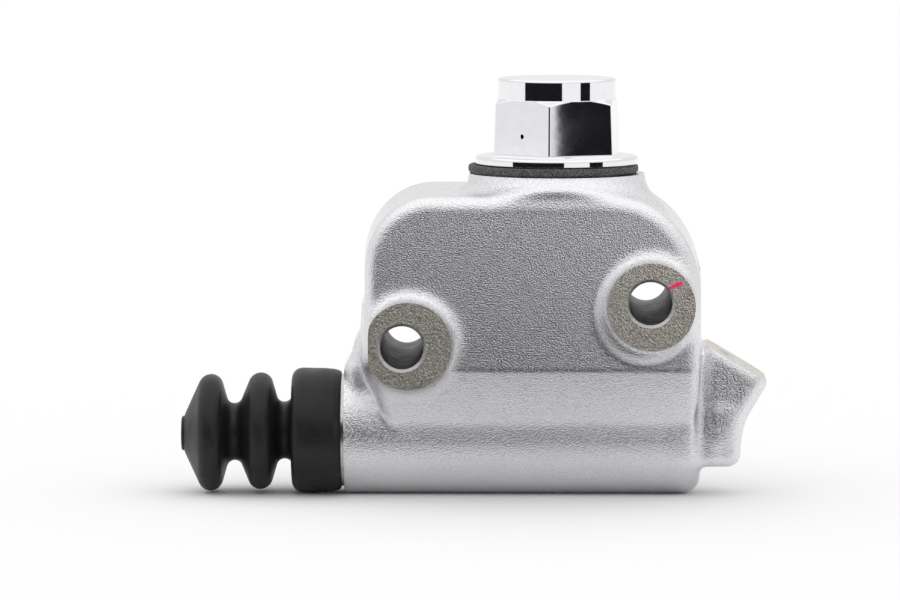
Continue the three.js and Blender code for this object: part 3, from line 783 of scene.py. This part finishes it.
def cast_body():
    low = (CAST_LOW[0] + 8, SEAT_Y - 3, FLOOR_Z - 2)
    high = (CAST_HIGH[0] + 2, PAD_Y + 3, NECK_TOP + 3)
    points, faces = skin(casting, low, high, GRID)
    body = new_piece("cast_body", points, faces, None)
    far = 200
    cuts = [
        block((-far, SEAT_Y - 9, -far), (far, SEAT_Y, far)),
        block((-far, PAD_Y, -far), (far, PAD_Y + 9, far)),
        block((-far, -far, NECK_TOP), (far, far, NECK_TOP + 9)),
        block((-far, -far, -far), (BARREL["left"], far, far)),
        block((-9.8, -20, 0), (20, 20, 9), outlet_matrix()),
    ]
    for tool in cuts:
        boolean(body, tool)
    boolean(body, spigot_solid(), "UNION")
    neck_r, floor, mouth_r = NECK_BORE["r"], NECK_BORE["floor"], NECK_BORE["mouth_r"]
    neck_bore = [(0, floor), (neck_r, floor), (neck_r, NECK_TOP - 0.9)]
    neck_bore += [(mouth_r, NECK_TOP + 0.3), (mouth_r, 43), (0, 43)]
    boolean(body, upright_tool(neck_bore))
    boolean(body, threaded("tool", neck_r, THREAD_DEPTH, floor + 2, NECK_TOP - 0.3, (CAP_X, MID_Y, 0)))
    for x, z in (LOWER_BOLT, UPPER_BOLT):
        boolean(body, bolt_hole_tool(x, z))
    boolean(body, bore_tool())
    for tool in port_tools():
        boolean(body, tool)
    for x, r in DRILLINGS:
        drilling = [(0, BORE_Z), (r, BORE_Z), (r, DRILLINGS_TOP), (0, DRILLINGS_TOP)]
        boolean(body, upright_tool(drilling, x, 16))
    body.data.materials.clear()
    for material in (CAST, MACHINED, BORED, DRILLED):
        body.data.materials.append(material)
    classify(body.data)
    shade(body, 38)
    return body


# ---------------------------------------------------------------- the filler cap

CAP = {"seat": 42.3, "flange_top": 44.4, "hex_top": 58.0, "collar_r": 14.25, "flange_r": 19.65}
PLUG_R = 16.6
PLUG_HOLLOW = {"floor": 33, "r": 14.2, "shoulder": 40.3}
HEX_HOLLOW = {"foot": 43.3, "r": 10.9, "top": 60.4}
GASKET_HOLE_R = 18.4
VENT = {"z": 49.5, "r": 0.5, "mouth_r": 1.2, "depth": 14.1}
FLATS = (14.5, 13.95)  # from the axis to a flat, at the seat and at the top of the hexagon
CORNER_TURN = -96.3  # the way that one corner points, in degrees from +X
CORNER_ROUND = 0.45


def hexagon_r(turn, flat):
    """The radius of a hexagon with rounded corners, at an angle in radians."""
    sixth = math.pi / 3
    from_flat = abs((turn - math.radians(CORNER_TURN)) % sixth - sixth / 2)
    reach = (flat - CORNER_ROUND) * math.tan(sixth / 2)
    if math.tan(from_flat) * flat <= reach:
        return flat / math.cos(from_flat)
    centre = (flat - CORNER_ROUND) / math.cos(sixth / 2)
    from_corner = sixth / 2 - from_flat
    aside = centre * math.sin(from_corner)
    return centre * math.cos(from_corner) + math.sqrt(CORNER_ROUND**2 - aside**2)


def soft_min(a, b, reach):
    h = max(reach - abs(a - b), 0) / reach
    return min(a, b) - h * h * reach / 4


def rounded_edge(z, r, radius):
    """Points round the upper edge of a rim, as (z, radius)."""
    turns = (0.4, 0.8, 1.2, 1.57)
    return [(z - radius + radius * math.sin(a), r - radius + radius * math.cos(a)) for a in turns]


def round_rows(points):
    return [(z, lambda turn, r=r: r) for z, r in points]


def cap_rows():
    """The cap's outside from its seat up, as (z, radius at an angle)."""
    seat, foot, top, high = CAP["seat"], CAP["flange_top"], CAP["hex_top"], CAP_HIGH[2]
    rim, collar = CAP["flange_r"], CAP["collar_r"]
    flange_round, collar_round = 0.75, 0.6
    flange = [(seat, 0), (seat, rim - 0.3), (seat + 0.3, rim), (seat + 0.4, rim)]
    flange += [(foot - flange_round - 0.1, rim), (foot - flange_round, rim)]
    rows = round_rows(flange + rounded_edge(foot, rim, flange_round))

    def hexagon_row(z, spread):
        share = (z - seat) / (top - seat)
        flat = FLATS[0] + (FLATS[1] - FLATS[0]) * share
        cone = collar + 0.15 + (top - z) / math.tan(math.radians(30))
        return lambda turn: soft_min(hexagon_r(turn, flat), cone, 0.35) + spread

    rows.append((foot, lambda turn: rim - 0.9))
    for spread, rise in ((0.75, 0), (0.65, 0.02), (0.3, 0.12), (0.1, 0.3), (0, 0.6), (0, 0.75)):
        rows.append((foot + rise, hexagon_row(foot + rise, spread)))
    steps = 26
    rows.append((top - 2.4, hexagon_row(top - 2.4, 0)))
    for i in range(1, steps + 1):
        z = top - 2.4 + 2.35 * i / steps
        rows.append((z, hexagon_row(z, 0)))
    ring = [(top, collar + 0.2), (top + 0.15, collar), (top + 0.25, collar)]
    ring += [(high - collar_round - 0.1, collar), (high - collar_round, collar)]
    ring += rounded_edge(high, collar, collar_round)
    ring += [(high, collar - collar_round - 0.2), (high, 0)]
    return rows + round_rows(ring)


def filler_cap():
    segments = 720
    points, faces = [], []
    rows = cap_rows()
    for z, radius in rows:
        for k in range(segments):
            turn = 2 * math.pi * k / segments
            r = max(radius(turn), TINY)
            points.append((CAP_X + r * math.cos(turn), MID_Y + r * math.sin(turn), z))
    for i in range(len(rows)):
        j = (i + 1) % len(rows)
        for k in range(segments):
            m = (k + 1) % segments
            faces.append((i * segments + k, i * segments + m, j * segments + m, j * segments + k))
    cap = new_piece("hexagon_filler_cap", points, faces, CHROME)
    low, seat = CAP_LOW[2], CAP["seat"]
    plug = [(0, low), (PLUG_R - 0.6, low), (PLUG_R, low + 0.8), (PLUG_R, seat + 0.5), (0, seat + 0.5)]
    boolean(cap, upright_tool(plug), "UNION")
    thread_r = PLUG_R - 0.15
    thread = threaded("tool", thread_r, THREAD_DEPTH, low + 0.6, seat - 1.6, (CAP_X, MID_Y, 0))
    boolean(cap, thread, "UNION")
    boolean(cap, cap_hollow_tool())
    boolean(cap, vent_tool())
    shade(cap, 25)
    return cap


def cap_hollow_tool():
    wide_r, narrow_r = PLUG_HOLLOW["r"], HEX_HOLLOW["r"]
    profile = [
        (0, PLUG_HOLLOW["floor"]),
        (wide_r, PLUG_HOLLOW["floor"]),
        (wide_r, PLUG_HOLLOW["shoulder"]),
        (narrow_r, HEX_HOLLOW["foot"]),
        (narrow_r, HEX_HOLLOW["top"]),
        (0, HEX_HOLLOW["top"]),
    ]
    return upright_tool(profile)


def vent_tool():
    """The small countersunk vent in the middle of one flat of the hexagon."""
    r, mouth_r, depth = VENT["r"], VENT["mouth_r"], VENT["depth"]
    profile = [(0, 8), (r, 8), (r, depth), (mouth_r, depth + 1.1), (mouth_r, 18), (0, 18)]
    tool = turned(closed(profile), None, "tool", "x", segments=24)
    at = Matrix.Translation(Vector((CAP_X, MID_Y, VENT["z"])) * MM)
    tool.data.transform(at @ Matrix.Rotation(math.radians(CORNER_TURN - 30), 4, "Z"))
    return tool


def cap_gasket():
    """A punched fibre ring, squeezed a little unevenly."""
    inner = GASKET_HOLE_R
    outer = (GASKET_HIGH[0] - GASKET_LOW[0]) / 2
    low, high = GASKET_LOW[2], GASKET_HIGH[2]
    centre = ((GASKET_LOW[0] + GASKET_HIGH[0]) / 2, MID_Y, 0)
    profile = [(inner, low), (outer - 0.5, low), (outer - 0.1, low + 0.4), (outer, (low + high) / 2)]
    profile += [(outer - 0.1, high - 0.3), (outer - 0.4, high), (inner, high)]
    ring = turned(profile, FIBRE, "filler_gasket", "z", centre)
    middle = Vector(centre) * MM
    for vertex in ring.data.vertices:
        out = vertex.co - middle
        out.z = 0
        turn = math.atan2(out.y, out.x)
        if out.length > (inner + 1) * MM:
            uneven = 0.10 * math.sin(5 * turn + 1) + 0.07 * math.sin(13 * turn)
            uneven += 0.05 * math.sin(31 * turn)
            vertex.co += out.normalized() * (uneven - 0.1) * MM
            if vertex.co.z < (low + 0.2) * MM:
                vertex.co.z += 0.05 * math.sin(9 * turn) * MM
    return ring


# ---------------------------------------------------------------- the dust boot

BOOT = {
    "nose": BOOT_LOW[0],
    "mouth_r": 4.1,
    "collar": -27.1,
    "collar_r": 15.1,
    "end": BOOT_HIGH[0],
    "peaks": (-46.8, -34.7),
    "peak_r": 14.15,
    "valleys": (-41.0, -28.9),
    "valley_r": 6.9,
    "wall": 1.5,
    "lip": 0.8,
    "corner": 2.6,
    "droop": 0.85,
    "seam": 0.1,
}


def fold(near, near_r, far, far_r, rising):
    """Half a fold of the bellows, as (radius, x): round one arc, along its flank, and round the next.
    near and far are the arcs' centres, and rising says that the line climbs from a valley to a peak."""
    dx, dr = far[1] - near[1], far[0] - near[0]
    apart = math.hypot(dx, dr)
    lean = math.acos(min((near_r + far_r) / apart, 1))
    along = math.atan2(dr, dx)
    face = along - lean if rising else along + lean
    start = -math.pi / 2 if rising else math.pi / 2
    line = []
    for i in range(7):
        turn = start + (face - start) * i / 6
        line.append((near[0] + near_r * math.sin(turn), near[1] + near_r * math.cos(turn)))
    for i in range(6):
        turn = face + (start - face) * i / 6
        line.append((far[0] - far_r * math.sin(turn), far[1] - far_r * math.cos(turn)))
    return line


def boot_line(shift):
    """The bellows from nose to collar, as (radius, x), moved in by shift."""
    peak_round, valley_round = 3.0 - shift * 0.6, 1.9 + shift * 0.6
    peaks = [(BOOT["peak_r"] - shift - peak_round, x) for x in BOOT["peaks"]]
    valleys = [(BOOT["valley_r"] - shift + valley_round, x) for x in BOOT["valleys"]]
    mouth, nose = BOOT["mouth_r"], BOOT["nose"]

    def round_point(centre, radius, degrees):
        turn = math.radians(degrees)
        return centre[0] + radius * math.sin(turn), centre[1] + radius * math.cos(turn)

    line = [(mouth - 0.4, nose), (mouth, nose + 0.15), (mouth + 0.15, nose + 0.7)]
    line.append((mouth + 0.8, nose + 0.9))
    line += [round_point(peaks[0], peak_round, degrees) for degrees in (156, 140, 125, 110)]
    line += fold(peaks[0], peak_round, valleys[0], valley_round, False)
    line += fold(valleys[0], valley_round, peaks[1], peak_round, True)
    line += fold(peaks[1], peak_round, valleys[1], valley_round, False)
    line += [round_point(valleys[1], valley_round, degrees) for degrees in (270, 290, 310, 330, 350)]
    return [(max(r, mouth - BOOT["lip"]), min(x, BOOT["collar"] - 0.05)) for r, x in line]


def dust_boot():
    collar, collar_r, end, wall = BOOT["collar"], BOOT["collar_r"], BOOT["end"], BOOT["wall"]
    nose, hole_r, round_r = BOOT["nose"], BOOT["mouth_r"] - BOOT["lip"], BOOT["corner"]
    corner = [
        (collar_r - round_r + round_r * math.sin(a), collar + round_r - round_r * math.cos(a))
        for a in (0, 0.3, 0.6, 0.9, 1.2, 1.57)
    ]
    outside = boot_line(0) + corner
    outside += [(collar_r - 0.1, end - 4), (collar_r - 0.3, end - 1.7)]
    outside += [(collar_r - 0.6, end - 0.6), (collar_r - 1.0, end)]
    fit = SPIGOT["r"] + 0.1
    groove = SPIGOT["groove_r"] + 0.15
    g0, g1 = SPIGOT["groove"]
    inside = [(r, x) for r, x in boot_line(wall) if nose + 1.5 < x < collar - 0.6]
    inner = [(hole_r, nose + 1.4)] + inside
    inner.append((BOOT["valley_r"] - wall + 0.2, collar + 0.6))
    inner += [(fit - 0.6, collar + 1.2), (fit, collar + 1.6)]
    inner += [(fit, g0 + 0.3), (groove, g0 + 0.7), (groove, g1 - 0.7), (fit, g1 - 0.3), (fit, end)]
    profile = [(hole_r, nose + 0.3)] + outside + inner[::-1]
    boot = turned(profile, RUBBER, "bellows_dust_boot", "x", (0, MID_Y, BORE_Z), smooth_angle=40)
    add_seam_and_droop(boot)
    return boot


def add_seam_and_droop(boot):
    """A moulding line along the middle of each side, and the nose hanging a little under its weight."""
    reach = (BOOT["collar"] - BOOT["nose"]) * MM
    middle = Vector((0, MID_Y, BORE_Z)) * MM
    for vertex in boot.data.vertices:
        out = vertex.co - middle
        out.x = 0
        on_seam = abs(out.z) < 0.02 * MM and out.length > (BOOT["valley_r"] - 0.5) * MM
        if on_seam:
            vertex.co += out.normalized() * BOOT["seam"] * MM
        vertex.co.z -= BOOT["droop"] * MM * max(BOOT["collar"] * MM - vertex.co.x, 0) / reach


# ---------------------------------------------------------------- the spring


SPRING = {"wire_r": 0.7, "turns": 9, "r_left": 4.2, "taper": 2.0, "dead": 0.045}


def spring_share(t):
    """How far along the spring its wire has come, with a closed turn at each end."""
    closed_turn, dead = 1 / SPRING["turns"], SPRING["dead"]
    if t < closed_turn:
        return dead * t / closed_turn
    if t > 1 - closed_turn:
        return 1 - dead + dead * (t - 1 + closed_turn) / closed_turn
    return dead + (1 - 2 * dead) * (t - closed_turn) / (1 - 2 * closed_turn)


def return_spring():
    """A tapering coil, its last turn at each end closed up against the one before."""
    wire, turns = SPRING["wire_r"], SPRING["turns"]
    left, right = SPRING_LOW[0] + wire, SPRING_HIGH[0] - wire
    steps = turns * 40
    sides = 10
    centre = Vector((0, MID_Y, BORE_Z))
    path = []
    for i in range(steps + 1):
        t = i / steps
        share = spring_share(t)
        r = SPRING["r_left"] + SPRING["taper"] * share
        turn = 2 * math.pi * turns * t
        path.append(Vector((left + (right - left) * share, r * math.cos(turn), r * math.sin(turn))))
    points, faces = [], []
    for i, at in enumerate(path):
        ahead = path[min(i + 1, steps)] - path[max(i - 1, 0)]
        out = Vector((0, at.y, at.z)).normalized()
        side = ahead.normalized().cross(out)
        for k in range(sides):
            a = 2 * math.pi * k / sides
            points.append(at + (out * math.cos(a) + side * math.sin(a)) * wire + centre)
    for i in range(steps):
        for k in range(sides):
            m = (k + 1) % sides
            faces.append((i * sides + k, i * sides + m, (i + 1) * sides + m, (i + 1) * sides + k))
    faces.append(tuple(range(sides)))
    faces.append(tuple(reversed(range(steps * sides, steps * sides + sides))))
    return new_piece("coil_return_spring", points, faces, STEEL)


# ---------------------------------------------------------------- putting the part together


def place(piece, body, slot, node):
    """Says which node a piece replaces and which body it moves with. slot is not used."""
    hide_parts(node)
    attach(piece, body)


place(cast_body(), "cylinder_body", "cast_body", "body_casting")
place(filler_cap(), "cap", "chrome", "filler_cap")
place(cap_gasket(), "gasket", "gasket", "cap_gasket")

boot = dust_boot()
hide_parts("dust_boot")
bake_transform(boot)

spring = return_spring()
place(spring, "cylinder_body", "steel", "return_spring")
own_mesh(spring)

INSIDE = {
    "outlet_tube_seat": BRASS,
    "lock_ring": STEEL,
    "stop_plate": STEEL,
    "piston": ALUMINIUM,
    "secondary_cup": RUBBER,
    "piston_shim": STEEL,
    "primary_cup": RUBBER,
    "cup_expander": STEEL,
    "check_valve_cage": STEEL,
    "check_valve_rubber": RUBBER,
    "valve_seat_ring": RUBBER,
}
for node, material in INSIDE.items():
    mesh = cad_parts[node].data
    mesh.materials.clear()
    mesh.materials.append(material)

# ---------------------------------------------------------------- the floor, the light and the camera


def matt(name, colour):
    """A plain finish with no shine."""
    material = bpy.data.materials.new(name)
    material.use_nodes = True
    shader = principled(material)
    shader.inputs["Base Color"].default_value = (*colour, 1)
    shader.inputs["Roughness"].default_value = 1
    shader.inputs["Specular IOR Level"].default_value = 0
    return material


def stage_floor():
    reach = 12000
    corners = level_corners(-reach, reach, -reach, reach, FLOOR_Z)
    floor = new_piece("floor", corners, [(0, 1, 2, 3)], matt("white_floor", (0.93, 0.93, 0.93)))


def level_corners(left, right, near, far, z):
    return [(left, near, z), (right, near, z), (right, far, z), (left, far, z)]


CARD_REACH = 420  # from the cap's axis to the dark cards
CARD_TOP = 135


def dark_card(name, start, end):
    """A dark card standing in an arc in front of the part, between two directions in degrees, where 0 is
    straight ahead of the part and 90 to its right. It is there only to be reflected in the metal."""
    steps = 16
    points, faces = [], []
    for i in range(steps + 1):
        turn = math.radians(start + (end - start) * i / steps)
        x, y = CAP_X + CARD_REACH * math.sin(turn), MID_Y - CARD_REACH * math.cos(turn)
        points += [(x, y, FLOOR_Z), (x, y, CARD_TOP)]
    for i in range(steps):
        faces.append((2 * i, 2 * i + 2, 2 * i + 3, 2 * i + 1))
    show_only_in_metal(new_piece(name, points, faces, matt(name, (0.012, 0.012, 0.014))))


def dark_mat(name, left, right, near, far):
    """A grey mat on the floor in front of the part, seen only in the metal."""
    points = level_corners(left, right, near, far, FLOOR_Z + 1)
    show_only_in_metal(new_piece(name, points, [(0, 1, 2, 3)], matt(name, (0.045, 0.045, 0.05))))


def show_only_in_metal(obj):
    obj.visible_camera = False
    obj.visible_diffuse = False
    obj.visible_shadow = False
    obj.visible_transmission = False


def white_world():
    """Even white light from everywhere, which is also the backdrop."""
    world = bpy.data.worlds.new("studio")
    world.use_nodes = True
    background = next(n for n in world.node_tree.nodes if n.type == "BACKGROUND")
    background.inputs["Color"].default_value = (1, 1, 1, 1)
    background.inputs["Strength"].default_value = 0.88
    bpy.context.scene.world = world


def overhead_light():
    """A wide soft light from straight above."""
    data = bpy.data.lights.new("overhead", "SUN")
    data.energy = 0.62
    data.angle = math.radians(110)
    light = bpy.data.objects.new("overhead", data)
    bpy.context.scene.collection.objects.link(light)


def main_camera():
    """A long lens in front of the part, a little above it and looking slightly down."""
    data = bpy.data.cameras.new("camera")
    data.lens = 281.3
    data.sensor_width = 36
    camera = bpy.data.objects.new("camera", data)
    camera.location = (0.0302, -1.742, 0.1524)
    camera.rotation_euler = (math.pi / 2 - 0.0842, 0, 0.0112)
    bpy.context.scene.collection.objects.link(camera)
    bpy.context.scene.camera = camera


stage_floor()
dark_card("front_card", start=-64, end=10)
dark_card("side_card", start=46, end=67)
dark_mat("front_mat", left=-90, right=130, near=MID_Y - 44, far=MID_Y - 419)
white_world()
overhead_light()
main_camera()
bpy.context.scene.view_settings.view_transform = "Standard"
